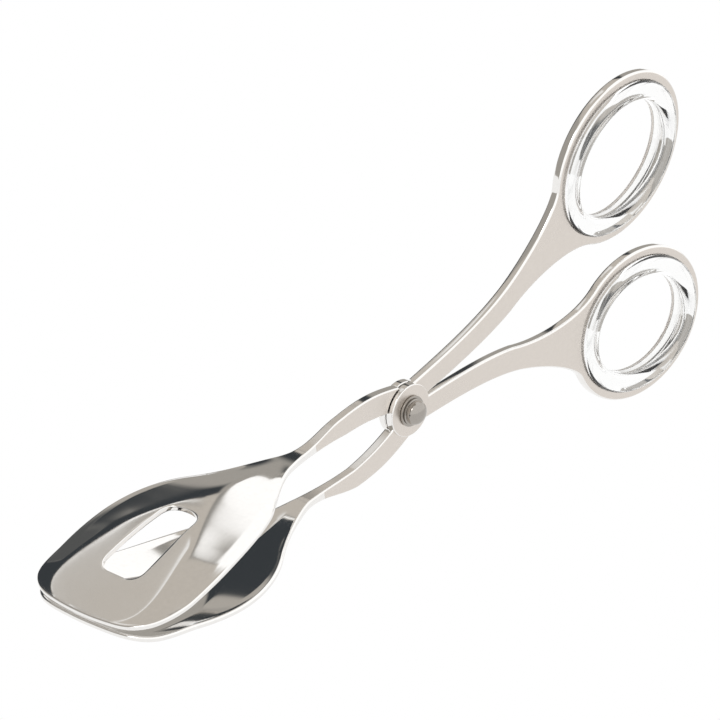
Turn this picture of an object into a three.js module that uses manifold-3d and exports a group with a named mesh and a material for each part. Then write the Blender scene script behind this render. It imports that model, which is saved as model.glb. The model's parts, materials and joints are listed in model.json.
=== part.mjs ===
// Scissor-action serving tongs: two one-piece steel arms that cross at a pivot,
// each with a finger ring at one end and a broad slotted jaw at the other, and a
// clear acrylic liner snapped into each finger ring.
//
// The arms are drawn in the tongs' own frame, in millimetres: the pivot is the
// origin, the finger rings are towards +X, the jaws towards -X, the pivot screw
// lies along Y with its cap nut on the -Y side, and Z is up. The closed tongs are
// then tipped until the lower jaw and the lower ring stand on z = 0.

import * as THREE from 'three';
import { mergeVertices } from 'three/addons/utils/BufferGeometryUtils.js';
import Module from 'manifold-3d';

const wasm = await Module();
wasm.setup();

// ---- Arm stock and hub ----
const armT = 2.8;            // thickness of the handle and shank bar, along Y
const armEdge = 0.45;        // small bevel along the bar's edges
const handleLayer = 0.3;     // how far each handle lies to its own side of y = 0
const shankLayer = 0.45;     // how far each shank starts to its own side of y = 0
const hubR = 7.4;            // hub disc radius
const hubT = 2.3;            // hub disc thickness
const hubGap = 0.3;          // gap between the two hub discs
const hubBevel = 0.35;       // bevel on the hub rim
const hubClear = 0.4;        // radial room round the other arm's hub

// ---- Finger ring ----
const ringX = 93;            // pivot to ring centre, along the handle axis
const ringZ = 27.4;          // ring centre to the handle axis
const ringA = 26.6;          // ring outer half length
const ringB = 22.3;          // ring outer half width
const ringTilt = 0.31;       // the ring's long axis leans outwards, radians
const bandW = 2.4;           // steel band seen round the liner
const lipW = 0.8;            // steel lip that the liner's channel grips

// ---- Acrylic liner ----
const linerW = 5.6;          // radial width of the liner
const linerT = 6.6;          // liner thickness, along Y
const linerRound = 1.7;      // rounding of its edges
const snapGap = 0.35;        // room between liner and steel

// ---- Handle blade between hub and ring, heights above the handle axis ----
const handleMidX = 43.4;     // station where the handle starts to sweep out
const handleTop = 13.8;      // outer edge height there
const handleLow = 6.0;       // inner edge height there

// ---- Shank between hub and neck ----
const shankX = 19;           // station of the shank's outward bow
const shankTop = 11.2;       // outer edge height at the bow
const shankLow = 5.2;        // inner edge height at the bow
const neckX = 41;            // station of the neck
const neckTop = 8.3;         // outer height at the neck
const neckT = 2.1;           // neck thickness
const neckHalf = 2.2;        // neck half width

// ---- Jaw ----
const jawX = 121.6;          // pivot to the jaw's front edge
const jawHalf = 23.4;        // greatest half width
const jawWideBack = 22.1;    // from the front edge back to the greatest width
const frontHalf = 10.7;      // half length of the nearly straight front edge
const frontBow = 0.75;       // how far the front edge bows out
const crestX = 74;           // station of the jaw's highest point
const crestH = 12.1;         // crown height there
const frontH = 2.0;          // crown height at the front edge
const plateT = 1.6;          // jaw plate thickness
const sideDrop = 2.8;        // how far the sides fall below the flat crown
const frontLevel = 0.95;     // share of that fall which is gone at the front edge
const crownShare = 0.45;     // flat share of the half width
const cant = 0.1;            // the jaws' midplane rises by this slope ...
const cantX = 23;            // ... beyond this station

// ---- Slot in each jaw ----
const slotFront = 13.6;      // from the jaw's front edge back to the slot
const slotLength = 27.2;     // along the jaw
const slotHalf0 = 5.7;       // half width at the neck end
const slotHalf1 = 6.8;       // half width at the front end
const slotR = 4.2;           // corner rounding

// ---- Pivot ----
const screwR = 2.0;          // screw shank radius
const boreClear = 0.1;       // radial running clearance in the hubs
const washerR = 4.3;         // washer outer radius
const washerT = 0.6;
const stackGap = 0.1;        // play between the stacked pivot pieces
const capR = 3.7;            // domed cap nut radius
const capH = 3.4;            // cap nut height
const headR = 3.9;           // screw head radius on the far side
const headH = 1.6;
const roundSegs = 40;

// ---- Stations that follow from the sizes above ----
const jawWideX = jawX - jawWideBack;
const slotX1 = jawX - slotFront;
const slotX0 = slotX1 - slotLength;

// ---- Solid helpers ----
const solid = (geometry) => {
  const g = geometry.clone();
  g.deleteAttribute('normal');
  g.deleteAttribute('uv');
  const merged = mergeVertices(g, 1e-5);
  return new wasm.Manifold(new wasm.Mesh({
    numProp: 3,
    vertProperties: new Float32Array(merged.attributes.position.array),
    triVerts: new Uint32Array(merged.index.array),
  }));
};

const geometryOf = (manifold) => {
  const mesh = manifold.getMesh();
  const g = new THREE.BufferGeometry();
  g.setAttribute('position', new THREE.BufferAttribute(new Float32Array(mesh.vertProperties), 3));
  g.setIndex(new THREE.BufferAttribute(new Uint32Array(mesh.triVerts), 1));
  g.computeVertexNormals();
  return g;
};

// A flat piece drawn in X-Z and extruded along Y between y0 and y1, edges bevelled.
const plateAlongY = (shape, y0, y1, bevel, curveSegments = 12, bevelSegments = 1) => {
  const g = new THREE.ExtrudeGeometry(shape, {
    depth: y1 - y0 - 2 * bevel,
    bevelEnabled: bevel > 0,
    bevelThickness: bevel,
    bevelSize: bevel,
    bevelOffset: -bevel,
    bevelSegments,
    curveSegments,
  });
  g.rotateX(Math.PI / 2);
  g.translate(0, y1 - bevel, 0);
  return g;
};

const disc = (r) => new THREE.Shape().absarc(0, 0, r, 0, 2 * Math.PI);

const discAlongY = (r, y0, y1, bevel = 0) =>
  solid(plateAlongY(disc(r), y0, y1, bevel, roundSegs / 2));

// ---- The finger ring's oval, shrunk inwards by d; up is +1 or -1 ----
const oval = (d, up) => ({
  x: ringX,
  z: up * ringZ,
  a: ringA - d,
  b: ringB - d,
  tilt: up * ringTilt,
});

const ovalShape = (d, up) => {
  const o = oval(d, up);
  return new THREE.Shape().absellipse(o.x, o.z, o.a, o.b, 0, 2 * Math.PI, false, o.tilt);
};

// Point and travel direction on the upper ring's outer oval at parameter t.
const onRing = (t) => {
  const c = Math.cos(ringTilt);
  const s = Math.sin(ringTilt);
  const u = ringA * Math.cos(t);
  const v = ringB * Math.sin(t);
  const du = -ringA * Math.sin(t);
  const dv = ringB * Math.cos(t);
  return {
    p: new THREE.Vector2(ringX + u * c - v * s, ringZ + u * s + v * c),
    d: new THREE.Vector2(du * c - dv * s, du * s + dv * c).normalize(),
  };
};

// ---- Handle blade and ring as one outline ----
const handleShape = (up) => {
  const leave = THREE.MathUtils.degToRad(150);
  const meet = THREE.MathUtils.degToRad(-140);
  const top = onRing(leave);
  const low = onRing(meet);
  const reach = ringX - ringA - handleMidX;
  const shape = new THREE.Shape();
  shape.moveTo(0, up * 0.2);
  shape.lineTo(0, up * 0.85 * hubR);
  shape.bezierCurveTo(
    0.38 * handleMidX, up * 1.06 * hubR,
    0.72 * handleMidX, up * (handleTop - 4.6),
    handleMidX, up * handleTop);
  shape.bezierCurveTo(
    handleMidX + 0.45 * reach, up * (handleTop + 4.2),
    top.p.x - 5 * Math.abs(top.d.x), up * (top.p.y - 5 * Math.abs(top.d.y)),
    top.p.x, up * top.p.y);
  const o = oval(0, up);
  shape.absellipse(o.x, o.z, o.a, o.b, up * leave, up * meet, up > 0, o.tilt);
  shape.bezierCurveTo(
    low.p.x - 8.5 * low.d.x, up * (low.p.y - 9.5 * low.d.y),
    handleMidX + 11.5, up * (handleLow + 4.6),
    handleMidX, up * handleLow);
  shape.bezierCurveTo(
    0.76 * handleMidX, up * (handleLow - 3.2),
    0.42 * handleMidX, up * 1.2,
    0, up * 0.2);
  shape.holes.push(ovalShape(bandW + lipW, up));
  return shape;
};

// ---- Jaw and shank profiles, as curves over the distance x from the pivot ----
const crownPath = new THREE.Path();
crownPath.moveTo(0, 7.2);
crownPath.bezierCurveTo(0.5 * shankX, 0.95 * shankTop, 0.7 * shankX, shankTop, shankX + 2, shankTop);
crownPath.bezierCurveTo(shankX + 10, shankTop, neckX - 8, neckTop, neckX - 1, neckTop);
crownPath.bezierCurveTo(neckX + 9, neckTop, crestX - 16, crestH, crestX, crestH);
crownPath.bezierCurveTo(crestX + 16, crestH, jawX - 20, frontH + 5.9, jawX, frontH);

const innerPath = new THREE.Path();
innerPath.moveTo(0, 0);
innerPath.bezierCurveTo(0.4 * shankX, 2.9, 0.7 * shankX, shankLow - 0.6, shankX, shankLow);
innerPath.bezierCurveTo(shankX + 8, shankLow + 1, neckX - 8, neckTop - neckT, neckX, neckTop - neckT);

const planPath = new THREE.Path();
planPath.moveTo(0, armT / 2);
planPath.lineTo(0.6 * neckX, armT / 2);
planPath.bezierCurveTo(0.8 * neckX, armT / 2, neckX - 4, neckHalf - 0.5, neckX, neckHalf);
planPath.bezierCurveTo(neckX + 9, neckHalf + 2, neckX + 16.5, 0.4 * jawHalf, neckX + 23, 0.6 * jawHalf);
planPath.bezierCurveTo(
  neckX + 30, 0.82 * jawHalf, jawWideX - 15.5, jawHalf, jawWideX, jawHalf);
planPath.bezierCurveTo(
  jawWideX + 7, jawHalf, jawX - 8.5, 0.97 * jawHalf, jawX - 5, 0.87 * jawHalf);
planPath.bezierCurveTo(
  jawX - 2.4, 0.79 * jawHalf, jawX - 0.6, 0.66 * jawHalf, jawX, frontHalf);

// Height of a path at x, read from its fine polyline.
const reader = (path) => {
  const pts = path.getSpacedPoints(400);
  return (x) => {
    if (x <= pts[0].x) return pts[0].y;
    for (let i = 1; i < pts.length; i += 1) {
      if (pts[i].x >= x) {
        const k = (x - pts[i - 1].x) / Math.max(pts[i].x - pts[i - 1].x, 1e-9);
        return THREE.MathUtils.lerp(pts[i - 1].y, pts[i].y, k);
      }
    }
    return pts[pts.length - 1].y;
  };
};
const crownAt = reader(crownPath);
const innerAt = reader(innerPath);
const halfAt = reader(planPath);
const cantAt = (x) => cant * Math.max(0, x - cantX);

// The crown is flat in the middle and its sides fall away to the edge.
const dropAt = (x, t) => {
  const grow = THREE.MathUtils.smoothstep(x, neckX, crestX);
  const front = 1 - frontLevel * THREE.MathUtils.smoothstep(x, jawX - 18, jawX);
  const side = Math.max(0, Math.abs(t) - crownShare) / (1 - crownShare);
  return sideDrop * grow * front * side;
};

// Thickness grows from the jaw plate into the deep shank bar.
const thickAt = (x) => {
  if (x < neckX) return crownAt(x) - innerAt(x);
  return THREE.MathUtils.lerp(neckT, plateT, THREE.MathUtils.smoothstep(x, neckX, neckX + 14));
};

// Shank and jaw: one box, its grid drawn out along the arm. jawUp is +1 for the
// arm with the upper jaw; layer is the side of y = 0 that the arm's hub is on.
const shankAndJaw = (jawUp, layer) => {
  const alongSegs = 40;
  const columns = [-1, -crownShare, crownShare, 1];
  const acrossSegs = columns.length - 1;
  const g = new THREE.BoxGeometry(1, 1, 1, alongSegs, acrossSegs, 1);
  const pos = g.attributes.position;
  const start = 1.5;
  for (let i = 0; i < pos.count; i += 1) {
    const u = 0.5 - pos.getX(i);
    const t = columns[Math.round((pos.getY(i) + 0.5) * acrossSegs)];
    const x = start + (jawX - start) * (1 - (1 - u) ** 1.35);
    const outer = crownAt(x) - dropAt(x, t);
    const inner = outer - thickAt(x);
    const height = (pos.getZ(i) > 0) === (jawUp > 0) ? outer : inner;
    const bow = frontBow * (1 - t * t) * THREE.MathUtils.smoothstep(x, jawX - 14, jawX);
    const slide = shankLayer * (1 - THREE.MathUtils.smoothstep(x, 0.45 * neckX, neckX));
    pos.setXYZ(i, -(x + bow), layer * slide + t * halfAt(x), cantAt(x) + jawUp * height);
  }
  return solid(g);
};

// ---- Slot cutter: a rounded trapezoid through the jaw ----
const slotCutter = (jawUp) => {
  const ends = [[slotX0, slotHalf0], [slotX1, slotHalf1]];
  const s = new THREE.Shape();
  const r = slotR;
  const [[x0, h0], [x1, h1]] = ends;
  s.moveTo(-(x0 + r), -h0);
  s.lineTo(-(x1 - r), -h1);
  s.quadraticCurveTo(-x1, -h1, -x1, -(h1 - r));
  s.lineTo(-x1, h1 - r);
  s.quadraticCurveTo(-x1, h1, -(x1 - r), h1);
  s.lineTo(-(x0 + r), h0);
  s.quadraticCurveTo(-x0, h0, -x0, 0);
  s.quadraticCurveTo(-x0, -h0, -(x0 + r), -h0);
  const depth = 40;
  const g = new THREE.ExtrudeGeometry(s, { depth, bevelEnabled: false, curveSegments: 8 });
  g.translate(0, 0, jawUp > 0 ? 2 + cantAt(x0) : cantAt(x0) - 2 - depth);
  return solid(g);
};

// ---- One arm. side is -1 for the near arm (hub on -Y, upper ring, lower jaw)
// and +1 for the far arm (hub on +Y, lower ring, upper jaw). ----
const makeArm = (side) => {
  const up = -side;
  const hubIn = side * hubGap / 2;
  const hubOut = side * (hubGap / 2 + hubT);
  const [h0, h1] = [Math.min(hubIn, hubOut), Math.max(hubIn, hubOut)];
  const y0 = side * handleLayer - armT / 2;
  let arm = solid(plateAlongY(handleShape(up), y0, y0 + armT, armEdge, 20));
  arm = arm.add(shankAndJaw(side, side));
  // Half-lap: clear the other hub, then add this arm's own disc.
  const far = -side * 12;
  const lap = discAlongY(hubR + hubClear, Math.min(hubIn, far), Math.max(hubIn, far));
  arm = arm.subtract(lap);
  arm = arm.add(discAlongY(hubR, h0, h1, hubBevel));
  arm = arm.subtract(discAlongY(screwR + boreClear, -12, 12));
  return arm.subtract(slotCutter(side));
};

// ---- Acrylic liner: a rounded oval ring with a channel that grips the lip ----
const makeLiner = (side) => {
  const up = -side;
  const yc = side * handleLayer;
  const outline = ovalShape(bandW, up);
  outline.holes.push(ovalShape(bandW + linerW, up));
  const body = solid(plateAlongY(outline, yc - linerT / 2, yc + linerT / 2, linerRound, 20, 2));
  const channel = ovalShape(bandW - 3, up);
  channel.holes.push(ovalShape(bandW + lipW + snapGap, up));
  const half = armT / 2 + snapGap;
  return body.subtract(solid(plateAlongY(channel, yc - half, yc + half, 0, 20)));
};

// ---- Pivot pieces, turned about Y ----
const turned = (points) => {
  const g = new THREE.LatheGeometry(points.map(([r, y]) => new THREE.Vector2(r, y)), roundSegs);
  return g;
};
const hubFace = hubGap / 2 + hubT;
const washerIn = hubFace + stackGap;
const washerOut = washerIn + washerT;
const seat = washerOut + stackGap;

const makeWasher = (side) => {
  const inner = screwR + boreClear;
  const ring = [[inner, washerIn], [washerR, washerIn], [washerR, washerOut], [inner, washerOut], [inner, washerIn]];
  return solid(turned(side > 0 ? ring : ring.map(([r, y]) => [r, -y]).reverse()));
};

// Screw with a low round head on the far side; its shank runs into the cap nut.
const shankEnd = -(seat + 0.55 * capH);
const makeScrew = () => solid(turned([
  [0, shankEnd], [screwR, shankEnd], [screwR, seat], [headR, seat],
  [headR, seat + 0.5 * headH], [0.8 * headR, seat + 0.85 * headH], [0.4 * headR, seat + headH], [0, seat + headH],
]));

// Cap nut on the near side: a stepped base and a tall dome, hollow for the shank.
const makeCap = () => {
  const bore = screwR + boreClear;
  const floor = shankEnd - 0.3;
  const tip = -(seat + capH);
  const dome = [];
  for (let k = 0; k <= 6; k += 1) {
    const a = (k / 6) * Math.PI / 2;
    dome.push([0.9 * capR * Math.cos(a), tip + 0.55 * capH * (1 - Math.sin(a))]);
  }
  dome.reverse();
  dome[0][0] = 0;
  return solid(turned([
    ...dome, [0.9 * capR, -(seat + 0.3 * capH)], [capR, -(seat + 0.3 * capH)], [capR, -seat],
    [bore, -seat], [bore, floor], [0, floor],
  ]));
};

// ---- Materials ----
const steel = new THREE.MeshStandardMaterial({ color: 0xd6cfc6, roughness: 0.12, metalness: 1 });
const fastener = new THREE.MeshStandardMaterial({ color: 0xa8a29a, roughness: 0.25, metalness: 1 });
const acrylic = new THREE.MeshStandardMaterial({
  color: 0xf4f6f7, roughness: 0.05, metalness: 0, transparent: true, opacity: 0.4,
});

const tongs = new THREE.Group();
const place = (name, manifold, material) => {
  const mesh = new THREE.Mesh(geometryOf(manifold), material.clone());
  mesh.name = name;
  tongs.add(mesh);
  return mesh;
};

place('near_arm', makeArm(-1), steel);
place('far_arm', makeArm(1), steel);
place('near_arm_ring_liner', makeLiner(-1), acrylic);
place('far_arm_ring_liner', makeLiner(1), acrylic);
place('pivot_screw', makeScrew(), fastener);
place('pivot_cap_nut', makeCap(), fastener);
place('near_washer', makeWasher(-1), fastener);
place('far_washer', makeWasher(1), fastener);

// ---- Stand the closed tongs on the lower jaw and the lower ring ----
// The stance is the tilt at which the lowest point ahead of the pivot and the
// lowest point behind it are level.
const lowest = (tilt, side) => {
  const s = Math.sin(tilt);
  const c = Math.cos(tilt);
  let low = Infinity;
  for (const mesh of tongs.children) {
    const pos = mesh.geometry.attributes.position;
    for (let i = 0; i < pos.count; i += 1) {
      const x = pos.getX(i);
      if (x * side > 0) low = Math.min(low, x * s + pos.getZ(i) * c);
    }
  }
  return low;
};
let tiltLow = 0;
let tiltHigh = 0.6;
for (let i = 0; i < 40; i += 1) {
  const mid = (tiltLow + tiltHigh) / 2;
  if (lowest(mid, 1) < lowest(mid, -1)) tiltLow = mid;
  else tiltHigh = mid;
}
tongs.rotation.y = -(tiltLow + tiltHigh) / 2;
tongs.updateMatrixWorld(true);

const part = new THREE.Group();
part.add(tongs);
const box = new THREE.Box3().setFromObject(part, true);
part.position.set(-(box.min.x + box.max.x) / 2, -(box.min.y + box.max.y) / 2, -box.min.z);
part.updateMatrixWorld(true);

export default part;
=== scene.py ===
# %% [markdown]
# # Scissor-action serving tongs
# Two crossed steel arms turn on one pivot. Each arm runs from a finger ring,
# through a flat handle blade and a round hub, into a bar that flattens at its
# neck and opens out into a slotted, shallow spoon jaw. Clear acrylic rings line
# the finger loops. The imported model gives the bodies, the joint and the sizes.

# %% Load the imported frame
import json
import math
import bmesh
import bpy
import numpy as np
from mathutils import Matrix, Vector
from mathutils.geometry import interpolate_bezier


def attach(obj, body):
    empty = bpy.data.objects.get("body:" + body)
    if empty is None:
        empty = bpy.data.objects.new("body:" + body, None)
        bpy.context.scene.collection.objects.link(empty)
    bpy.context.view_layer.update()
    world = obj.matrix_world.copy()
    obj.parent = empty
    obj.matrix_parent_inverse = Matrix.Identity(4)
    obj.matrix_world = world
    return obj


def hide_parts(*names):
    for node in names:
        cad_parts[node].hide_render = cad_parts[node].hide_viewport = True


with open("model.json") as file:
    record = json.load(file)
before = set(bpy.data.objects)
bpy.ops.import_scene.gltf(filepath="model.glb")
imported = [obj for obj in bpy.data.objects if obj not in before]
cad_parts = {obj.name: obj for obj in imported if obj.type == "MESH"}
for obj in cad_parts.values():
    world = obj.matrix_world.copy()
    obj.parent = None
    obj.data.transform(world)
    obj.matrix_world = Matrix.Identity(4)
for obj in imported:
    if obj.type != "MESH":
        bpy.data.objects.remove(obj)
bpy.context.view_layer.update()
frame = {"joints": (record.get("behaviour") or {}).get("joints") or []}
pivot = Vector(frame["joints"][0]["pos_m"])

# %% [markdown]
# ## Sizes
# The arms are drawn in millimetres in their own frame: the pivot is the origin,
# the jaws point to -X, the rings to +X, and the pivot axis is Y. The finished
# pieces are then tipped by the stance, so that the closed tongs stand on the
# lower jaw and the lower ring, and moved to the joint. Both arms share every
# size: one is the other turned over.

# %% Sizes in millimetres
stance = -0.24865             # tilt of the closed tongs, radians about Y
arm_t = 2.8                   # thickness of handle and shank
# How far handle and shank stand off the plane between the hubs, to the arm's side.
handle_layer, shank_layer = 0.3, 0.45
# Hubs: radius, thickness, gap between the two, and room round one in the other arm.
hub_r, hub_t, hub_gap, hub_clear = 7.4, 2.3, 0.3, 0.4
# Finger ring: centre, half axes and tilt, then the band, the lip and the liner on it.
ring_x, ring_z, ring_a, ring_b, ring_tilt = 93.0, 27.4, 26.575, 22.28, 0.31
band_w, lip_w, liner_w, liner_t, snap_gap = 2.4, 0.8, 5.6, 6.6, 0.35
# Handle, shank and neck: where each is measured, and its heights or widths there.
handle_mid, handle_top, handle_low = 43.4, 13.8, 6.0
shank_x, shank_top, shank_low = 19.0, 11.2, 5.2
neck_x, neck_top, neck_t, neck_half = 41.0, 8.3, 2.1, 2.2
# Jaw: its front, half width and widest station, its front edge, its crest and plate.
jaw_x, jaw_half, jaw_wide = 121.6, 23.385, 99.5
front_half, front_bow, front_h = 10.7, 0.70, 2.0
crest_x, crest_h, plate_t, side_drop = 74.0, 12.1, 1.6, 2.8
# Both jaws lean the same way, up, by the slope cant from cant_x on.
cant, cant_x = 0.1, 23.0
# Slot: its two ends, its half width towards each, and its corner radius.
slot_x0, slot_x1, slot_half0, slot_half1, slot_r = 80.8, 108.0, 5.7, 6.8, 4.2
# Pivot: screw, bore, washers, cap nut and screw head.
screw_r, washer_r, washer_t, stack_gap = 2.0, 4.3, 0.6, 0.1
bore_r = screw_r + 0.1
cap_r, cap_h, head_r, head_h = 3.7, 3.4, 3.9, 1.6

to_row = Matrix.Translation(pivot) @ Matrix.Rotation(stance, 4, "Y") @ Matrix.Scale(0.001, 4)

# %% [markdown]
# ## Helpers for drawing
# A pressed-steel piece is easiest to describe by a few curves: its outline seen
# from above, and its height along its length. `run` samples a chain of cubic
# Bezier curves finely, and the height curves are read from those samples.

# %% Curves
def run(points, steps=60):
    """Samples of chained cubic curves: knot, handle, handle, knot, handle, ..."""
    out = []
    for i in range(0, len(points) - 3, 3):
        four = [Vector((p[0], p[1], 0)) for p in points[i:i + 4]]
        out += [(v.x, v.y) for v in interpolate_bezier(*four, steps + 1)][:-1]
    return np.array(out + [tuple(points[-1])], float)


def smoothstep(x, low, high):
    """0 below low and 1 above high, with an eased slope between."""
    t = np.clip((x - low) / (high - low), 0.0, 1.0)
    return t * t * (3.0 - 2.0 * t)


def resample(line, step):
    """Points at equal spacing along a polyline."""
    length = np.concatenate([[0], np.cumsum(np.hypot(*np.diff(line, axis=0).T))])
    n = max(2, int(round(length[-1] / step)) + 1)
    at = np.linspace(0, length[-1], n)
    return np.column_stack([np.interp(at, length, line[:, 0]), np.interp(at, length, line[:, 1])])


# %% Meshes and objects
def piece(name, bm, material, body, replaces, sharp):
    """Turns a bmesh drawn in millimetres into a finished piece that rides on a body."""
    bmesh.ops.transform(bm, matrix=to_row, verts=bm.verts)
    for edge in bm.edges:
        turn = edge.calc_face_angle(0.0) if edge.is_manifold else 0.0
        edge.smooth = turn < math.radians(sharp)
    for face in bm.faces:
        face.smooth = True
    mesh = bpy.data.meshes.new(name)
    bm.to_mesh(mesh)
    open_edges = sum(1 for e in bm.edges if not e.is_manifold)
    bm.free()
    obj = bpy.data.objects.new(name, mesh)
    bpy.context.scene.collection.objects.link(obj)
    for item in material if isinstance(material, (list, tuple)) else [material]:
        mesh.materials.append(item)
    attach(obj, body)
    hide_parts(*replaces)
    print(f"{name}: {len(mesh.polygons)} faces, {open_edges} open edges")
    return obj


def evaluated(obj):
    """The mesh of an object with its modifiers applied."""
    depsgraph = bpy.context.evaluated_depsgraph_get()
    return bpy.data.meshes.new_from_object(obj.evaluated_get(depsgraph))


def cut(bm, cutter):
    """A copy of bm with cutter taken away. Both are closed, and both are used up."""
    made = []
    for source in (bm, cutter):
        mesh = bpy.data.meshes.new("cut")
        source.to_mesh(mesh)
        source.free()
        obj = bpy.data.objects.new("cut", mesh)
        bpy.context.scene.collection.objects.link(obj)
        made.append(obj)
    modifier = made[0].modifiers.new("cut", "BOOLEAN")
    modifier.operation = "DIFFERENCE"
    modifier.solver = "EXACT"
    modifier.object = made[1]
    mesh = evaluated(made[0])
    result = bmesh.new()
    result.from_mesh(mesh)
    spent = [mesh] + [obj.data for obj in made]
    for obj in made:
        bpy.data.objects.remove(obj)
    for old in spent:
        bpy.data.meshes.remove(old)
    bmesh.ops.remove_doubles(result, verts=result.verts, dist=1e-5)
    return result


# %% [markdown]
# ## Polished steel
# The arms are stamped stainless steel, polished bright, with the flat sides of
# handle and shank left a little satin by the belt. Those flat sides also get a
# darker tint than the bright steel of the rounded edges: that is painted shade.
# The screw, nut and washers are tinted darker still, painted shade for the dark
# reflections on the nut. A metal is all reflection, so the rest of the finish is
# in its roughness: faint smears of handling, very fine hairlines along the belt's
# direction, and a trace of waviness from the press. One group holds those, and
# each steel uses it with its own values.

# %% Wear group
def link(tree, a, b):
    tree.links.new(a, b)


def noise(tree, scale, detail, vector):
    """A noise texture that reads the given coordinates."""
    node = tree.nodes.new("ShaderNodeTexNoise")
    node.inputs["Scale"].default_value = scale
    node.inputs["Detail"].default_value = detail
    link(tree, vector, node.inputs["Vector"])
    return node.outputs["Fac"]


def steel_wear_group():
    group = bpy.data.node_groups.new("steel_wear", "ShaderNodeTree")
    face = group.interface
    for name in ("Hairlines", "Smear", "Base Roughness"):
        face.new_socket(name, in_out="INPUT", socket_type="NodeSocketFloat")
    face.new_socket("Tint", in_out="INPUT", socket_type="NodeSocketColor")
    face.new_socket("Color", in_out="OUTPUT", socket_type="NodeSocketColor")
    for name in ("Roughness", "Height"):
        face.new_socket(name, in_out="OUTPUT", socket_type="NodeSocketFloat")
    nodes = group.nodes
    given = nodes.new("NodeGroupInput")
    result = nodes.new("NodeGroupOutput")
    where = nodes.new("ShaderNodeTexCoord").outputs["Object"]

    # Hairlines are noise drawn out along the tilted length of the tongs.
    along = nodes.new("ShaderNodeMapping")
    along.inputs["Rotation"].default_value = (0, -stance, 0)
    along.inputs["Scale"].default_value = (90, 2600, 2600)
    link(group, where, along.inputs["Vector"])
    lines = noise(group, 1.0, 3.0, along.outputs["Vector"])
    smear = noise(group, 70.0, 4.0, where)
    speck = noise(group, 900.0, 2.0, where)

    # Roughness = base + smear noise * amount of smear.
    smear_part = nodes.new("ShaderNodeMath")
    smear_part.operation = "MULTIPLY"
    link(group, smear, smear_part.inputs[0])
    link(group, given.outputs["Smear"], smear_part.inputs[1])
    rough = nodes.new("ShaderNodeMath")
    rough.operation = "ADD"
    link(group, given.outputs["Base Roughness"], rough.inputs[0])
    link(group, smear_part.outputs[0], rough.inputs[1])
    link(group, rough.outputs[0], result.inputs["Roughness"])

    # Height = (specks / 2 + hairlines) * amount of hairlines.
    relief = nodes.new("ShaderNodeMath")
    relief.operation = "MULTIPLY_ADD"
    link(group, speck, relief.inputs[0])
    relief.inputs[1].default_value = 0.5
    link(group, lines, relief.inputs[2])
    height = nodes.new("ShaderNodeMath")
    height.operation = "MULTIPLY"
    link(group, relief.outputs[0], height.inputs[0])
    link(group, given.outputs["Hairlines"], height.inputs[1])
    link(group, height.outputs[0], result.inputs["Height"])

    # The specks also darken and lighten the tint a little.
    shade = nodes.new("ShaderNodeMapRange")
    shade.inputs["To Min"].default_value = 0.955
    shade.inputs["To Max"].default_value = 1.03
    link(group, speck, shade.inputs["Value"])
    tint = nodes.new("ShaderNodeVectorMath")
    tint.operation = "SCALE"
    link(group, given.outputs["Tint"], tint.inputs[0])
    link(group, shade.outputs["Result"], tint.inputs["Scale"])
    link(group, tint.outputs["Vector"], result.inputs["Color"])
    return group


steel_wear = steel_wear_group()
dent_depth = 0.00002          # metres


def steel(name, tint, roughness, smear, hairlines, bump):
    """A polished or satin steel, from the shared wear group."""
    mat = bpy.data.materials.new(name)
    mat.use_nodes = True
    tree = mat.node_tree
    shader = tree.nodes["Principled BSDF"]
    wear = tree.nodes.new("ShaderNodeGroup")
    wear.node_tree = steel_wear
    wear.inputs["Tint"].default_value = (*tint, 1)
    wear.inputs["Base Roughness"].default_value = roughness
    wear.inputs["Smear"].default_value = smear
    wear.inputs["Hairlines"].default_value = hairlines
    dent = tree.nodes.new("ShaderNodeBump")
    dent.inputs["Strength"].default_value = bump
    dent.inputs["Distance"].default_value = dent_depth
    link(tree, wear.outputs["Color"], shader.inputs["Base Color"])
    link(tree, wear.outputs["Roughness"], shader.inputs["Roughness"])
    link(tree, wear.outputs["Height"], dent.inputs["Height"])
    link(tree, dent.outputs["Normal"], shader.inputs["Normal"])
    shader.inputs["Metallic"].default_value = 1.0
    return mat


bright_steel = steel("bright_steel", (0.86, 0.845, 0.825),
                     roughness=0.05, smear=0.05, hairlines=0.2, bump=0.12)
# Satin steel for the flat sides: the satin is real roughness and hairlines, but its darker tint is painted
# shade.
satin_shaded_side = steel("satin_shaded_side", (0.690, 0.640, 0.590),
                   roughness=0.24, smear=0.08, hairlines=1.0, bump=0.3)
# Steel for screw, nut and washers: its much darker tint is painted shade for the dark reflections on the
# nut.
shaded_fastener_steel = steel("shaded_fastener_steel", (0.38, 0.355, 0.325),
                       roughness=0.07, smear=0.08, hairlines=0.5, bump=0.2)
print("steels", [m.name for m in (bright_steel, satin_shaded_side, shaded_fastener_steel)])

# %% [markdown]
# ## Clear acrylic
# The liners are cast clear, so they are a plain transmitting plastic with the
# refractive index of acrylic. Light smears from handling vary the gloss a
# little, and a very low ripple breaks up the reflections as moulding does.

# %% Clear acrylic
refraction = 1.49


def acrylic():
    mat = bpy.data.materials.new("clear_acrylic")
    mat.use_nodes = True
    tree = mat.node_tree
    shader = tree.nodes["Principled BSDF"]
    shader.inputs["Base Color"].default_value = (0.985, 0.985, 0.98, 1)
    shader.inputs["Transmission Weight"].default_value = 1.0
    shader.inputs["IOR"].default_value = refraction
    smear = noise(tree, 160.0, 3.0, tree.nodes.new("ShaderNodeTexCoord").outputs["Object"])
    gloss = tree.nodes.new("ShaderNodeMapRange")
    gloss.inputs["To Min"].default_value = 0.01
    gloss.inputs["To Max"].default_value = 0.07
    ripple = tree.nodes.new("ShaderNodeBump")
    ripple.inputs["Strength"].default_value = 0.25
    ripple.inputs["Distance"].default_value = 0.00012
    link(tree, smear, gloss.inputs["Value"])
    link(tree, gloss.outputs["Result"], shader.inputs["Roughness"])
    link(tree, smear, ripple.inputs["Height"])
    link(tree, ripple.outputs["Normal"], shader.inputs["Normal"])
    return mat


clear_acrylic = acrylic()
print("acrylic with refractive index", refraction)

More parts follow.
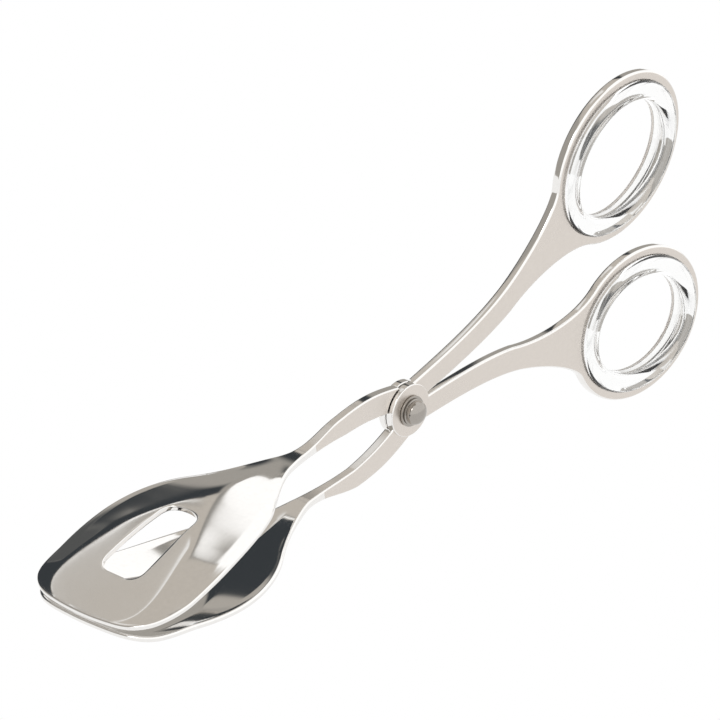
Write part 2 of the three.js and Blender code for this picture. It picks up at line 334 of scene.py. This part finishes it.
# %% [markdown]
# ## Shank and jaw
# On the real tongs one bar is left deep at the shank, pinched and twisted flat
# at the neck, and pressed into a shallow spoon with a slot. It could be a
# subdivided cage, but a mirror finish shows every uneven face, so the surface is
# laid out as an even net. A grid wrapped round the bar makes the shank, and a
# second grid runs in rings from the slot to the jaw's edge. Their vertices are
# placed by the same height curves, so the two weld into one closed skin.

# %% Height and plan curves of the jaw
crease = 0.07                 # softness of the crease beside the flat crown, as a share of the side
edge_roll, roll_width = 0.45, 3.2     # the last turn down towards the jaw's edge, in mm
curve_steps = 400
crown_run = run([
    (0, 7.2), (0.5 * shank_x, 0.95 * shank_top), (0.7 * shank_x, shank_top), (shank_x + 2, shank_top),
    (shank_x + 10, shank_top), (neck_x - 8, neck_top), (neck_x - 1, neck_top),
    (neck_x + 9, neck_top), (crest_x - 12, crest_h + 0.1), (crest_x, crest_h),
    (crest_x + 16, crest_h), (jaw_x - 20, front_h + 5.9), (jaw_x, front_h)], curve_steps)
inner_run = run([
    (0, 0), (0.4 * shank_x, 2.9), (0.7 * shank_x, shank_low - 0.6), (shank_x, shank_low),
    (shank_x + 8, shank_low + 1), (neck_x - 8, neck_top - neck_t), (neck_x, neck_top - neck_t)], curve_steps)
half_run = run([
    (0, arm_t / 2), (8, arm_t / 2), (16, arm_t / 2), (0.6 * neck_x, arm_t / 2),
    (0.8 * neck_x, arm_t / 2), (neck_x - 4, neck_half - 0.5), (neck_x, neck_half),
    (neck_x + 9, neck_half + 2), (neck_x + 16.5, 0.4 * jaw_half), (neck_x + 23, 0.6 * jaw_half),
    (neck_x + 30, 0.82 * jaw_half), (jaw_wide - 15.5, jaw_half), (jaw_wide, jaw_half),
    (jaw_wide + 7, jaw_half), (jaw_x - 8.5, 0.97 * jaw_half), (jaw_x - 5, 0.87 * jaw_half),
    (jaw_x - 2.4, 0.79 * jaw_half), (jaw_x - 0.6, 0.66 * jaw_half), (jaw_x, front_half)], curve_steps)


def crown_at(x):
    """Height of the outer skin on the arm's middle line."""
    return np.interp(x, crown_run[:, 0], crown_run[:, 1])


def half_at(x):
    """Half of the arm's width, seen from above."""
    return np.interp(x, half_run[:, 0], half_run[:, 1])


def thick_at(x):
    """Depth of the bar up to the neck, then the thickness of the jaw's plate."""
    bar = crown_at(x) - np.interp(x, inner_run[:, 0], inner_run[:, 1])
    plate = neck_t + (plate_t - neck_t) * smoothstep(x, neck_x, neck_x + 14)
    return np.where(x < neck_x, bar, plate)


def cant_at(x):
    """How far both jaws have climbed together at x."""
    return cant * np.maximum(0.0, x - cant_x)


def drop_at(x, y):
    """How far the jaw's skin has fallen below its flat crown."""
    grow = smoothstep(x, neck_x + 5, crest_x - 8)
    front = 1 - 0.95 * smoothstep(x, jaw_x - 18, jaw_x)
    flat = 0.45 * smoothstep(x, crest_x - 11, crest_x + 20) + 0.3 * smoothstep(x, jaw_x - 40, jaw_x - 4)
    half = half_at(x)
    side = (np.minimum(np.abs(y) / half, 1.0) - flat) / (1 - flat)
    middle = -flat / (1 - flat)
    rounded = 0.5 * (side + np.hypot(side, crease)) - 0.5 * (middle + np.hypot(middle, crease))
    roll = edge_roll * np.maximum(0.0, 1 - (half - np.abs(y)) / roll_width) ** 2
    return grow * (side_drop * front * rounded + roll * (1 - smoothstep(x, jaw_x - 30, jaw_x - 12)))


def skin(x, y, inner):
    """Height of the arm's outer or inner skin away from the jaws' midplane."""
    return crown_at(x) - drop_at(x, y) - inner * thick_at(x)


slot_mid = 0.5 * (slot_x0 + slot_x1)
print("crown at the slot", round(float(crown_at(slot_mid)), 2), "mm")

# %% Outline of one side, with its rounded rim
edge_start, edge_step, weld_x = 1.5, 0.5, 62.0     # the shank's and the jaw's nets meet at weld_x
edge_line = half_run[half_run[:, 0] >= edge_start]
bow = [(jaw_x + front_bow * (1 - t * t), front_half * t) for t in np.linspace(1, 0, 40)[1:]]
edge = resample(np.vstack([edge_line, bow]), edge_step)
along = np.gradient(edge, axis=0)
along /= np.hypot(*along.T)[:, None]
out = np.column_stack([-along[:, 1], along[:, 0]])
out[-1] = (1, 0)
edge_r = np.minimum(0.6, 0.45 + 0.15 * smoothstep(edge[:, 0], 35, 60))
inset = edge - out * edge_r[:, None]
weld = int(np.argmin(np.abs(edge[:, 0] - weld_x)))
print(len(edge), "stations along the edge, weld at", round(edge[weld, 0], 1), "mm")

rim_steps = 5                 # steps round each of the rim's two quarter turns
columns = 24                  # grid columns across the shank


def rim(i, side):
    """Points round the rim at station i, from the outer skin to the inner skin."""
    x, y = inset[i]
    r = edge_r[i]
    top, low = skin(x, y, 0), skin(x, y, 1)
    pts = []
    for k in range(rim_steps + 1):
        a = k / rim_steps * math.pi / 2
        pts.append((r * math.sin(a), top - r * (1 - math.cos(a))))
    for k in range(rim_steps + 1):
        a = (1 - k / rim_steps) * math.pi / 2
        pts.append((r * math.sin(a), low + r * (1 - math.cos(a))))
    return [(x + reach * out[i, 0], side * (y + reach * out[i, 1]), z) for reach, z in pts]


# %% Shank net: a grid wrapped round the bar
def shank_loop(i):
    """One loop round the bar at station i."""
    x, y = inset[i]
    across = np.linspace(-y, y, columns + 1)
    over = [(x, c, float(skin(x, c, 0))) for c in across]
    under = [(x, c, float(skin(x, c, 1))) for c in across[::-1]]
    right, left = rim(i, 1)[1:-1], rim(i, -1)[::-1][1:-1]
    return over + right + under + left


def place_grid(bm, rows, closed):
    """A grid made by the grid operator, with its vertices placed row by row."""
    count = len(rows[0])
    wide = count + 1 if closed else count
    made = bmesh.ops.create_grid(bm, x_segments=wide - 1, y_segments=len(rows) - 1, size=0.5)
    verts = made["verts"]
    for v in verts:
        column = int(round((v.co.x + 0.5) * (wide - 1)))
        row = int(round((v.co.y + 0.5) * (len(rows) - 1)))
        v.co = rows[row][column % count]
    return verts


# %% Jaw net: rings from the slot out to the edge
def slot_reach(angle):
    """Distance from the slot's centre to its rounded outline, along an angle."""
    return float(np.interp(angle % (2 * math.pi), slot_polar[:, 0], slot_polar[:, 1]))


def slot_line():
    """Half of the rounded slot from the neck end to the front end, then its mirror."""
    r = slot_r
    half = run([
        (slot_x0, 0), (slot_x0, -0.55 * slot_half0), (slot_x0 + 0.25 * r, -slot_half0),
        (slot_x0 + r, -slot_half0 - 0.15), (slot_x0 + 2 * r, -slot_half0 - 0.3),
        (slot_x1 - 2 * r, -slot_half1), (slot_x1 - r, -slot_half1),
        (slot_x1 - 0.4 * r, -slot_half1), (slot_x1, -slot_half1 + 0.4 * r), (slot_x1, -slot_half1 + r),
        (slot_x1, -0.6 * r), (slot_x1, -0.3 * r), (slot_x1, 0)])
    return np.vstack([half, half[::-1][1:-1] * (1, -1)])


slot_pts = slot_line()
polar = np.column_stack([
    np.arctan2(slot_pts[:, 1], slot_pts[:, 0] - slot_mid) % (2 * math.pi),
    np.hypot(slot_pts[:, 0] - slot_mid, slot_pts[:, 1])])
polar = polar[np.argsort(polar[:, 0])]
slot_polar = np.vstack([polar[-1] - (2 * math.pi, 0), polar, polar[0] + (2 * math.pi, 0)])

jaw_rings = 40                # rings from the slot out to the edge
slot_round, lip_steps = 0.35, 4       # the slot's rounded lips, in mm and in points


def jaw_ray(x, y, rim_points):
    """Points from the slot's mid wall over the outer skin, round the rim, and back."""
    angle = math.atan2(y, x - slot_mid)
    reach = slot_reach(angle)
    ux, uy = math.cos(angle), math.sin(angle)
    sx, sy = slot_mid + ux * (reach + slot_round), uy * (reach + slot_round)
    top, low = float(skin(sx, sy, 0)), float(skin(sx, sy, 1))
    lip = []
    for k in range(lip_steps):
        a = k / lip_steps * math.pi / 2
        lip.append((slot_round * math.cos(a), slot_round * (1 - math.sin(a))))
    outer = [(sx - d * ux, sy - d * uy, top - z) for d, z in lip]
    inner = [(sx - d * ux, sy - d * uy, low + z) for d, z in lip]
    over, under = [], []
    for k in range(jaw_rings + 1):
        w = k / jaw_rings
        px, py = sx + (x - sx) * w, sy + (y - sy) * w
        over.append((px, py, float(skin(px, py, 0))))
        under.append((px, py, float(skin(px, py, 1))))
    return outer + over + rim_points + under[::-1] + inner[::-1]


far_off = 1e4                 # a ray across the shank has no rim: those vertices go here, to be deleted


def shank_and_jaw(side):
    """The closed skin of one arm ahead of its hub: 1 gives the upper jaw, -1 the lower."""
    bm = bmesh.new()
    place_grid(bm, [shank_loop(i) for i in range(0, weld + 1)], True)
    rays = []
    last = len(edge) - 1
    for i in range(weld, last + 1):
        rays.append(jaw_ray(inset[i][0], inset[i][1], rim(i, 1)[1:-1]))
    for i in range(last - 1, weld - 1, -1):
        rays.append(jaw_ray(inset[i][0], -inset[i][1], rim(i, -1)[1:-1]))
    x, y = inset[weld]
    no_rim = [(x, 0.0, far_off + k) for k in range(2 * rim_steps)]
    for c in np.linspace(-y, y, columns + 1)[1:-1]:
        rays.append(jaw_ray(x, float(c), no_rim))
    rays.append(rays[0])
    made = place_grid(bm, rays, True)
    stray = [v for v in made if v.co.z > 0.9 * far_off]
    bmesh.ops.delete(bm, geom=stray, context="VERTS")
    bmesh.ops.remove_doubles(bm, verts=bm.verts, dist=2e-4)
    hole = [e for e in bm.edges if e.is_boundary]
    bmesh.ops.holes_fill(bm, edges=hole, sides=0)
    for v in bm.verts:
        bar = 1 - smoothstep(v.co.x, 0.45 * neck_x, neck_x)
        v.co = (-v.co.x, v.co.y + side * shank_layer * float(bar),
                float(cant_at(v.co.x)) + side * v.co.z)
    bmesh.ops.recalc_face_normals(bm, faces=bm.faces)
    return bm


# %% [markdown]
# ## The half lap at the hub
# Where the arms cross, each is milled away on its inner face to leave room for
# the other's hub. A plain disc is the cutter for that, made by spinning a short
# profile round the pivot axis, which is how every turned piece here is made.

# %% Turned pieces
def turned(profile, steps=96, bevel=0.0, sharp_bevel=30.0):
    """Spins a profile of (radius, y) round Y. It starts and ends on the axis or closes."""
    bm = bmesh.new()
    verts = [bm.verts.new((r, y, 0)) for r, y in profile]
    edges = [bm.edges.new(pair) for pair in zip(verts, verts[1:])]
    if profile[0][0] > 0:
        edges.append(bm.edges.new((verts[-1], verts[0])))
    bmesh.ops.spin(bm, geom=verts + edges, cent=(0, 0, 0), axis=(0, 1, 0), angle=2 * math.pi,
                   steps=steps, use_merge=True, use_duplicate=False)
    bmesh.ops.remove_doubles(bm, verts=bm.verts, dist=1e-4)
    bmesh.ops.recalc_face_normals(bm, faces=bm.faces)
    if bevel:
        limit = math.radians(sharp_bevel)
        corners = [e for e in bm.edges if e.is_manifold and e.calc_face_angle(0) > limit]
        bmesh.ops.bevel(bm, geom=corners, offset=bevel, segments=4, profile=0.5,
                        affect="EDGES", material=-1, clamp_overlap=True)
    return bm


lap_depth = 12


def lap_cutter(side):
    """A disc that clears an arm's inner side round the other hub."""
    near, far = side * hub_gap / 2, -side * lap_depth
    r = hub_r + hub_clear
    return turned([(0, near), (r, near), (r, far), (0, far)])


# %% Make the shanks and jaws
sides = {"near": -1, "far": 1}
satin_shade_end = 6 - neck_x        # the satin sides, with their painted shade, stop short of the neck


def satin_shaded_sides(bm, from_x=-math.inf):
    """Gives the second material, the satin one whose darker tint is painted shade, to the flat faces across
    the pivot axis.
    """
    for face in bm.faces:
        flat = abs(face.normal.y) > 0.97
        face.material_index = 1 if flat and face.calc_center_median().x > from_x else 0


for who, side in sides.items():
    bm = cut(shank_and_jaw(side), lap_cutter(side))
    # The flat sides take the satin steel with its painted shade.
    satin_shaded_sides(bm, satin_shade_end)
    piece(f"{who}_shank_and_jaw", bm, [bright_steel, satin_shaded_side], f"{who}_side",
          [f"{who}_arm"], sharp=40)

# %% [markdown]
# ## Handle blade and finger ring
# Behind the hub each arm is a flat blade that sweeps out and widens into a ring.
# It is one stamped outline with a hole, so it is drawn as a flat filled curve
# and given its thickness and rounded edges by the curve's own extrude and bevel.

# %% Handle outline
def on_ring(t, d=0.0):
    """Point on the upper ring's oval, shrunk by d, at the angle t."""
    c, s = math.cos(ring_tilt), math.sin(ring_tilt)
    u, v = (ring_a - d) * math.cos(t), (ring_b - d) * math.sin(t)
    return np.array((ring_x + u * c - v * s, ring_z + u * s + v * c))


def handle_outline():
    """The blade's upper edge, round the ring, and back along the blade's lower edge."""
    leave, meet = math.radians(150), math.radians(-140)
    top, low = on_ring(leave), on_ring(meet)
    d_top = on_ring(leave + 0.01) - on_ring(leave - 0.01)
    d_top /= np.hypot(*d_top)
    d_low = on_ring(meet + 0.01) - on_ring(meet - 0.01)
    d_low /= np.hypot(*d_low)
    reach = ring_x - ring_a - handle_mid
    blade = run([
        (0, 0.85 * hub_r), (0.38 * handle_mid, 1.06 * hub_r), (0.72 * handle_mid, handle_top - 4.6),
        (handle_mid, handle_top), (handle_mid + 0.45 * reach, handle_top + 4.2),
        (top[0] - 5 * abs(d_top[0]), top[1] - 5 * abs(d_top[1])), tuple(top)])
    ring = [on_ring(t) for t in np.linspace(leave, meet, 220)][1:]
    under = run([
        tuple(low), (low[0] - 8.5 * d_low[0], low[1] - 9.5 * d_low[1]),
        (handle_mid + 11.5, handle_low + 4.6), (handle_mid, handle_low),
        (0.76 * handle_mid, handle_low - 3.2), (0.42 * handle_mid, 1.2), (0, 0.2)])
    return resample(np.vstack([blade, ring, under[1:]]), 0.6)


def flat_curve(name, loops, thick, round_edge):
    """Closed loops filled as one flat plate with rounded edges, as a bmesh."""
    data = bpy.data.curves.new(name, "CURVE")
    data.dimensions = "2D"
    data.fill_mode = "BOTH"
    for loop in loops:
        spline = data.splines.new("POLY")
        spline.points.add(len(loop) - 1)
        zeros, ones = np.zeros(len(loop)), np.ones(len(loop))
        spline.points.foreach_set("co", np.column_stack([loop, zeros, ones]).ravel())
        spline.use_cyclic_u = True
    data.extrude = thick / 2 - round_edge
    data.bevel_depth = round_edge
    data.bevel_resolution = 3
    data.offset = -round_edge
    obj = bpy.data.objects.new(name, data)
    bpy.context.scene.collection.objects.link(obj)
    mesh = evaluated(obj)
    bm = bmesh.new()
    bm.from_mesh(mesh)
    bpy.data.objects.remove(obj)
    bpy.data.meshes.remove(mesh)
    bmesh.ops.remove_doubles(bm, verts=bm.verts, dist=1e-3)
    bmesh.ops.rotate(bm, verts=bm.verts, cent=(0, 0, 0), matrix=Matrix.Rotation(math.pi / 2, 3, "X"))
    bmesh.ops.recalc_face_normals(bm, faces=bm.faces)
    return bm


# %% Make the handles
def weighted(obj):
    """Keeps the broad flat faces flat and lets only the rounded edges turn."""
    modifier = obj.modifiers.new("flat faces", "WEIGHTED_NORMAL")
    modifier.mode = "FACE_AREA"
    modifier.weight = 100
    modifier.keep_sharp = True


handle_round = 0.75           # rounding of the blade's edges, in mm
round_ring = np.linspace(0, 2 * math.pi, 200, endpoint=False)
for who, side in sides.items():
    up = -side
    outer = handle_outline() * (1, up)
    hole = np.array([on_ring(t, band_w + lip_w) for t in round_ring]) * (1, up)
    bm = flat_curve("blade", [outer, hole], arm_t, handle_round)
    bmesh.ops.translate(bm, verts=bm.verts, vec=(0, side * handle_layer, 0))
    bm = cut(bm, lap_cutter(side))
    # The flat sides take the satin steel with its painted shade.
    satin_shaded_sides(bm)
    weighted(piece(f"{who}_handle_and_ring", bm, [bright_steel, satin_shaded_side], f"{who}_side",
                   [f"{who}_arm"], sharp=40))

# %% [markdown]
# ## Hubs
# The hubs are round bosses a little prouder than the blades, with a small
# rounding on the rim and a plain bore for the pivot screw.

# %% Make the hubs
for who, side in sides.items():
    inner, face_y = side * hub_gap / 2, side * (hub_gap / 2 + hub_t)
    bm = turned([(bore_r, inner), (hub_r, inner), (hub_r, face_y), (bore_r, face_y)], bevel=0.35)
    # The flat sides take the satin steel with its painted shade.
    satin_shaded_sides(bm)
    weighted(piece(f"{who}_hub", bm, [bright_steel, satin_shaded_side], f"{who}_side",
                   [f"{who}_arm"], sharp=60))

# %% [markdown]
# ## Pivot screw, cap nut and washers
# A round-headed screw goes through both hubs from the far side and runs into a
# domed cap nut on the near side, and a thin washer lies under each of the two.
# Each is turned, so each is a spun profile. Screw and washers have their corners
# bevelled, and the nut's foot is drawn with two fine grooves.

# %% Make the pivot pieces
hub_face = hub_gap / 2 + hub_t
washer_in = hub_face + stack_gap
washer_out = washer_in + washer_t
seat = washer_out + stack_gap
shank_end = -(seat + 0.55 * cap_h)

for who, side in sides.items():
    ring = [(bore_r, side * washer_in), (washer_r, side * washer_in),
            (washer_r, side * washer_out), (bore_r, side * washer_out)]
    piece(f"{who}_side_washer", turned(ring, bevel=0.12), shaded_fastener_steel, "near_side",
          [f"{who}_washer"], sharp=60)

dome = [(head_r * math.cos(a), seat + 0.45 * head_h + 0.55 * head_h * math.sin(a))
        for a in np.linspace(0, math.pi / 2, 12)[:-1]]
piece("screw", turned([(0, shank_end), (screw_r, shank_end), (screw_r, seat), (head_r, seat), *dome,
                       (0, seat + head_h)], bevel=0.1, sharp_bevel=50),
      shaded_fastener_steel, "near_side", ["pivot_screw"], sharp=50)

tip = -(seat + cap_h)
barrel, dome_h = 0.9 * cap_r, 0.66 * cap_h
groove_depth, groove_half = 0.14, 0.08
bore_end = shank_end - 0.3
cap = [(0, bore_end), (bore_r, bore_end), (bore_r, -seat), (cap_r, -seat), (cap_r, -seat - 0.1 * cap_h)]
for at in (0.13, 0.23):
    y = -seat - at * cap_h
    cap += [(barrel, y), (barrel - groove_depth, y - groove_half), (barrel, y - 2 * groove_half)]
cap += [(barrel * math.cos(a), tip + dome_h * (1 - math.sin(a)))
        for a in np.linspace(0.0, 0.48 * math.pi, 18)]
cap += [(0, tip)]
# The nut's steel is darkened: painted shade for the dark reflections on its dome and rim.
piece("cap_nut", turned(cap), shaded_fastener_steel, "near_side", ["pivot_cap_nut"], sharp=50)

# %% [markdown]
# ## Ring liners
# Each liner is a rounded oval ring whose outer channel snaps over the steel lip.
# Its section is spun into a round ring, which is then squeezed to the oval.

# %% Make the liners
def liner_profile():
    """The liner's section: (inset from the ring's outer edge, y)."""
    d0, d1 = band_w, band_w + liner_w
    channel = band_w + lip_w + snap_gap
    half, groove, r = liner_t / 2, arm_t / 2 + snap_gap, 1.9
    start, quarter = math.asin((groove - half + r) / r), math.pi / 2
    pts = [(channel, -groove), (channel, groove)]
    # Four rounded corners: the wall each starts from, the ways it turns, its angles.
    corners = [(d0, 1, 1, start, quarter, 9), (d1, -1, 1, quarter, 0, 10),
               (d1, -1, -1, 0, quarter, 10), (d0, 1, -1, quarter, start, 9)]
    for d, inward, up, first, last, count in corners:
        for a in np.linspace(first, last, count):
            pts.append((d + inward * r * (1 - math.cos(a)), up * (half - r * (1 - math.sin(a)))))
    return pts


for who, side in sides.items():
    up = -side
    bm = turned([(ring_a - d, y) for d, y in liner_profile()], steps=200)
    for v in bm.verts:
        radius = math.hypot(v.co.x, v.co.z)
        squeeze = (radius - (ring_a - ring_b)) / radius
        v.co.z *= squeeze
    bmesh.ops.rotate(bm, verts=bm.verts, cent=(0, 0, 0), matrix=Matrix.Rotation(-up * ring_tilt, 3, "Y"))
    bmesh.ops.translate(bm, verts=bm.verts, vec=(ring_x, side * handle_layer, up * ring_z))
    bmesh.ops.recalc_face_normals(bm, faces=bm.faces)
    piece(f"{who}_ring_liner", bm, clear_acrylic, f"{who}_side",
          [f"{who}_arm_ring_liner"], sharp=50)

# %% [markdown]
# ## Table and light
# The tongs are shown above a plain white table in an even, slightly warm studio.
# A table right under them would hide the lower finger ring once the tongs open,
# so it lies a hand's width below. It glows by itself and stays evenly white.

# %% Table
table_height = -0.10          # metres, low enough for the opened tongs to turn above it
table_size = 4.0
table_material = bpy.data.materials.new("white_table")
table_material.use_nodes = True
table_shader = table_material.node_tree.nodes["Principled BSDF"]
table_shader.inputs["Base Color"].default_value = (0, 0, 0, 1)
table_shader.inputs["Roughness"].default_value = 1.0
table_shader.inputs["Specular IOR Level"].default_value = 0.0
table_shader.inputs["Emission Color"].default_value = (1, 1, 1, 1)
table_shader.inputs["Emission Strength"].default_value = 1.0
bm = bmesh.new()
bmesh.ops.create_grid(bm, x_segments=1, y_segments=1, size=table_size,
                      matrix=Matrix.Translation((0, 0, table_height)))
mesh = bpy.data.meshes.new("table")
bm.to_mesh(mesh)
bm.free()
mesh.materials.append(table_material)
table = bpy.data.objects.new("table", mesh)
bpy.context.scene.collection.objects.link(table)
print("table", table_height, "m from the level of the closed tongs' foot")

# %% [markdown]
# ## What the steel reflects
# Bright steel has no look of its own and shows the room. Lamps would give it
# small hard spots, while a studio uses big cards and soft boxes. They are far
# off compared with a jaw's size, so they are painted on the room itself, by
# heading and height in degrees. There is a warm grey ceiling, a white wall to the
# right of a slanted edge, one dark card low behind the tongs, a thin bright
# strip along the card's upper edge, and a pale panel above that for the handles'
# top edges. A view that looks straight at the room finds it plain white.

# %% Painting tools for the room
world = bpy.data.worlds.new("studio")
bpy.context.scene.world = world
world.use_nodes = True
room = world.node_tree


def maths(operation, a, b=None):
    """A Math node on numbers or sockets."""
    node = room.nodes.new("ShaderNodeMath")
    node.operation = operation
    for socket, value in zip(node.inputs, (a, b)):
        if isinstance(value, (int, float)):
            socket.default_value = value
        elif value is not None:
            link(room, value, socket)
    return node.outputs[0]


def between(value, low, high, out_low=0.0, out_high=1.0, smooth=True):
    """How far a value has come from low to high, eased at both ends."""
    node = room.nodes.new("ShaderNodeMapRange")
    node.interpolation_type = "SMOOTHSTEP" if smooth else "LINEAR"
    link(room, value, node.inputs["Value"])
    ends = (("From Min", low), ("From Max", high), ("To Min", out_low), ("To Max", out_high))
    for name, number in ends:
        node.inputs[name].default_value = number
    return node.outputs["Result"]


def bent_line(value, knots):
    """A line through (value, result) knots, level beyond its ends."""
    total = knots[0][1]
    for (x0, y0), (x1, y1) in zip(knots, knots[1:]):
        total = maths("ADD", between(value, x0, x1, 0.0, y1 - y0, smooth=False), total)
    return total


def both(*masks):
    """A mask that is 1 only where all the given masks are."""
    result = masks[0]
    for mask in masks[1:]:
        result = maths("MULTIPLY", result, mask)
    return result


def paint(under, mask, light):
    """Lay an even light over what is there, where the mask is 1."""
    node = room.nodes.new("ShaderNodeMix")
    link(room, mask, node.inputs[0])
    link(room, under, node.inputs[2])
    node.inputs[3].default_value = light
    return node.outputs[0]


# %% Places in the room
where = room.nodes.new("ShaderNodeTexCoord").outputs["Generated"]
parts = room.nodes.new("ShaderNodeSeparateXYZ")
link(room, where, parts.inputs[0])
heading = maths("MULTIPLY", maths("ARCTAN2", parts.outputs["Y"], parts.outputs["X"]), 180 / math.pi)
height = maths("MULTIPLY", maths("ARCSINE", parts.outputs["Z"]), 180 / math.pi)

# The white wall ends at a slanted edge, and the rest is painted past that edge.
wall_edge = bent_line(height, [(30, 31), (38, 35.5), (45, 37.8), (56, 41.5), (62, 43.5),
                               (70, 49), (76, 30), (80, 20)])
past_wall = maths("SUBTRACT", heading, wall_edge)
behind = between(past_wall, 0.0, 1.2)

# The card's upper edge is an arch that climbs to arch_end and is level from there.
arch_end, arch_height, arch_bend = 86.0, 49.6, 0.0137
climb = maths("MINIMUM", maths("SUBTRACT", heading, arch_end), 0.0)
arch = maths("SUBTRACT", arch_height, maths("MULTIPLY", maths("MULTIPLY", climb, climb), arch_bend))
card_top = maths("MAXIMUM", arch, between(heading, 38, 50, 40.2, 37.5))
above_card = maths("SUBTRACT", height, card_top)
below_top = between(above_card, -0.5, -1.0)

# Its foot rises to the left, and its right side leans.
card_foot = bent_line(heading, [(46, 12), (48, 14), (51, 17), (55, 20), (60, 21.5)])
over_foot = between(maths("SUBTRACT", height, card_foot), -1.5, 0.3)
under_foot = between(over_foot, 1.0, 0.0, smooth=False)
leaning = maths("ADD", heading, maths("MULTIPLY", maths("SUBTRACT", height, 35.0), 0.33))
card_side = between(leaning, 41, 44.5)

# The strip widens as the arch falls away. The panel's foot keeps clear of it.
strip_width = maths("SUBTRACT", 0.3, maths("MULTIPLY", climb, 0.04))
in_strip = maths("DIVIDE", above_card, strip_width)
strip_run = both(between(heading, 50, 56), between(heading, 88, 85))
panel_foot = bent_line(heading, [(64, 47.6), (70, 49.9), (78, 51.6), (90, 52.8)])
over_panel_foot = between(maths("SUBTRACT", height, panel_foot), -0.2, 0.5)
print("places made with", len(room.nodes), "nodes")

# %% Paint the room, from 0 for black to 1 for white
# The walls all round: white, but greyer behind the tongs and to their left.
light = bent_line(heading, [(-180, 1.0), (40, 1.0), (62, 0.62), (90, 0.60), (112, 0.55), (125, 0.42),
                            (146, 0.30), (160, 0.60), (180, 1.0)])
# The ceiling right overhead, a dim edge past the white wall, and the grey behind it.
light = paint(light, between(height, 76, 82), 0.57)
light = paint(light, both(behind, between(height, 76, 72)), 0.29)
light = paint(light, between(past_wall, 2.5, 6.0), 0.56)
# The pale panel for the handles' top edges.
light = paint(light, both(over_panel_foot, between(heading, 65, 68), between(heading, 96, 90),
                          between(height, 55.5, 54)), 0.88)
# The card: a grey margin, the dark card itself, and two tones under its foot.
light = paint(light, both(behind, below_top), 0.38)
light = paint(light, both(card_side, between(heading, 112, 102), below_top, over_foot), 0.05)
light = paint(light, both(behind, between(heading, 66, 58), between(heading, 49, 50), under_foot), 0.45)
light = paint(light, both(between(heading, 58, 66), between(heading, 112, 102), under_foot), 0.10)
# The strip along the card's upper edge: a grey border, then the bright line.
light = paint(light, both(strip_run, between(above_card, -0.2, 0.1), between(in_strip, 2.2, 1.8)), 0.36)
light = paint(light, both(strip_run, between(above_card, -0.3, 0.0), between(in_strip, 1.1, 0.8)), 1.0)

# %% Colour the room
# Dark tones are a little blue and middle tones warm. White glows past 1, as a
# lit card does, so that it stays white after the steel has dulled it.
tones = room.nodes.new("ShaderNodeValToRGB")
tone_stops = [(0.0, (0.0, 0.0, 0.0)), (0.05, (0.042, 0.048, 0.054)), (0.30, (0.30, 0.29, 0.27)),
              (0.57, (0.57, 0.53, 0.48)), (0.80, (0.80, 0.79, 0.77)), (1.0, (1.0, 1.0, 1.0))]
ramp = tones.color_ramp.elements
while len(ramp) < len(tone_stops):
    ramp.new(0.5)
for element, (position, colour) in zip(ramp, tone_stops):
    element.position = position
    element.color = (*colour, 1)
link(room, light, tones.inputs["Fac"])
glow = room.nodes.new("ShaderNodeVectorMath")
glow.operation = "SCALE"
link(room, tones.outputs["Color"], glow.inputs[0])
link(room, between(light, 0.85, 1.0, 1.0, 1.2), glow.inputs["Scale"])

# One small soft box, up to the left of the tongs, for the highlight on the nut.
toward = Vector((-0.726, -0.089, 0.682))
box_rim, box_core, box_glow = math.radians(11), math.radians(7), 3.0
facing = room.nodes.new("ShaderNodeVectorMath")
facing.operation = "DOT_PRODUCT"
link(room, where, facing.inputs[0])
facing.inputs[1].default_value = toward
soft_box = between(facing.outputs["Value"], math.cos(box_rim), math.cos(box_core), 0.0, box_glow)
lit = room.nodes.new("ShaderNodeVectorMath")
lit.operation = "ADD"
link(room, glow.outputs[0], lit.inputs[0])
link(room, soft_box, lit.inputs[1])

# Looked at straight, the room is plain white.
sight = room.nodes.new("ShaderNodeLightPath")
plain_view = room.nodes.new("ShaderNodeMix")
plain_view.data_type = "RGBA"
plain_view.inputs[7].default_value = (1, 1, 1, 1)
link(room, sight.outputs["Is Camera Ray"], plain_view.inputs[0])
link(room, lit.outputs[0], plain_view.inputs[6])
link(room, plain_view.outputs[2], room.nodes["Background"].inputs["Color"])
bpy.context.scene.view_settings.view_transform = "Standard"
print("room painted with", len(room.nodes), "nodes")

# %% [markdown]
# ## Camera
# A long lens from a good distance keeps the far ring nearly as large as the near
# one. The camera stands on the near side, towards the jaws and a little above,
# and is rolled very slightly. Its axes come straight from those three angles.

# %% Camera
aim = Vector((-0.00545, 0.01234, 0.03726))
turn, rise, roll = math.radians(-48.42), math.radians(23.50), math.radians(2.02)
distance, lens, sensor = 1.41, 265.5, 36.0
back = Vector((math.sin(turn) * math.cos(rise), -math.cos(turn) * math.cos(rise), math.sin(rise)))
level = Vector((math.cos(turn), math.sin(turn), 0))
right = level * math.cos(roll) + back.cross(level) * math.sin(roll)
camera = bpy.data.objects.new("camera", bpy.data.cameras.new("camera"))
bpy.context.scene.collection.objects.link(camera)
axes = Matrix((right, back.cross(right), back)).transposed().to_4x4()
camera.matrix_world = Matrix.Translation(aim + back * distance) @ axes
camera.data.lens = lens
camera.data.sensor_width = sensor
camera.data.clip_end = 20.0
bpy.context.scene.camera = camera
